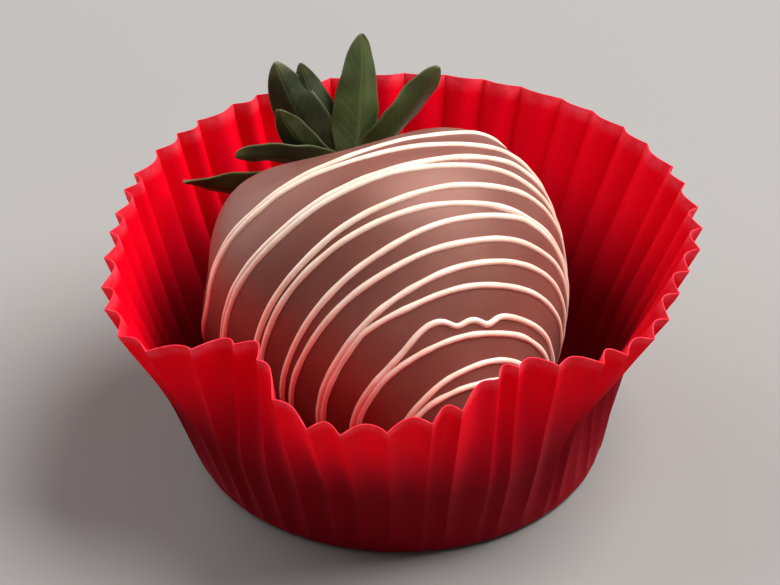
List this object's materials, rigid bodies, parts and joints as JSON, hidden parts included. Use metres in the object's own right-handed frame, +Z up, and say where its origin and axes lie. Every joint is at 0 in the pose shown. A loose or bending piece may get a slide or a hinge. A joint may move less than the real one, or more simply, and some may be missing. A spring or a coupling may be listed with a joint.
{
  "type": "chocolate coated strawberry",
  "caption": "Strawberry dipped in chocolate with thin white chocolate lines across it, lying on its side in a pleated red paper case.",
  "frame": {"origin": "centre of the paper case's flat base, on the surface that it stands on", "axes": "+Z up; the tip of the berry points to -Y and its leaves to +Y; +X to the right, seen from the tip"},
  "size_m": [0.0775, 0.0746, 0.0451],
  "materials": {
    "red_paper": "matt greaseproof paper, slightly translucent",
    "milk_chocolate": "satin, set chocolate",
    "white_chocolate": "satin, set white chocolate",
    "leaf_green": "soft leaf with fine hairs"
  },
  "bodies": {
    "root": {"paper_case": "red_paper", "coated_berry": "milk_chocolate", "calyx": "leaf_green"}
  },
  "joints": []
}
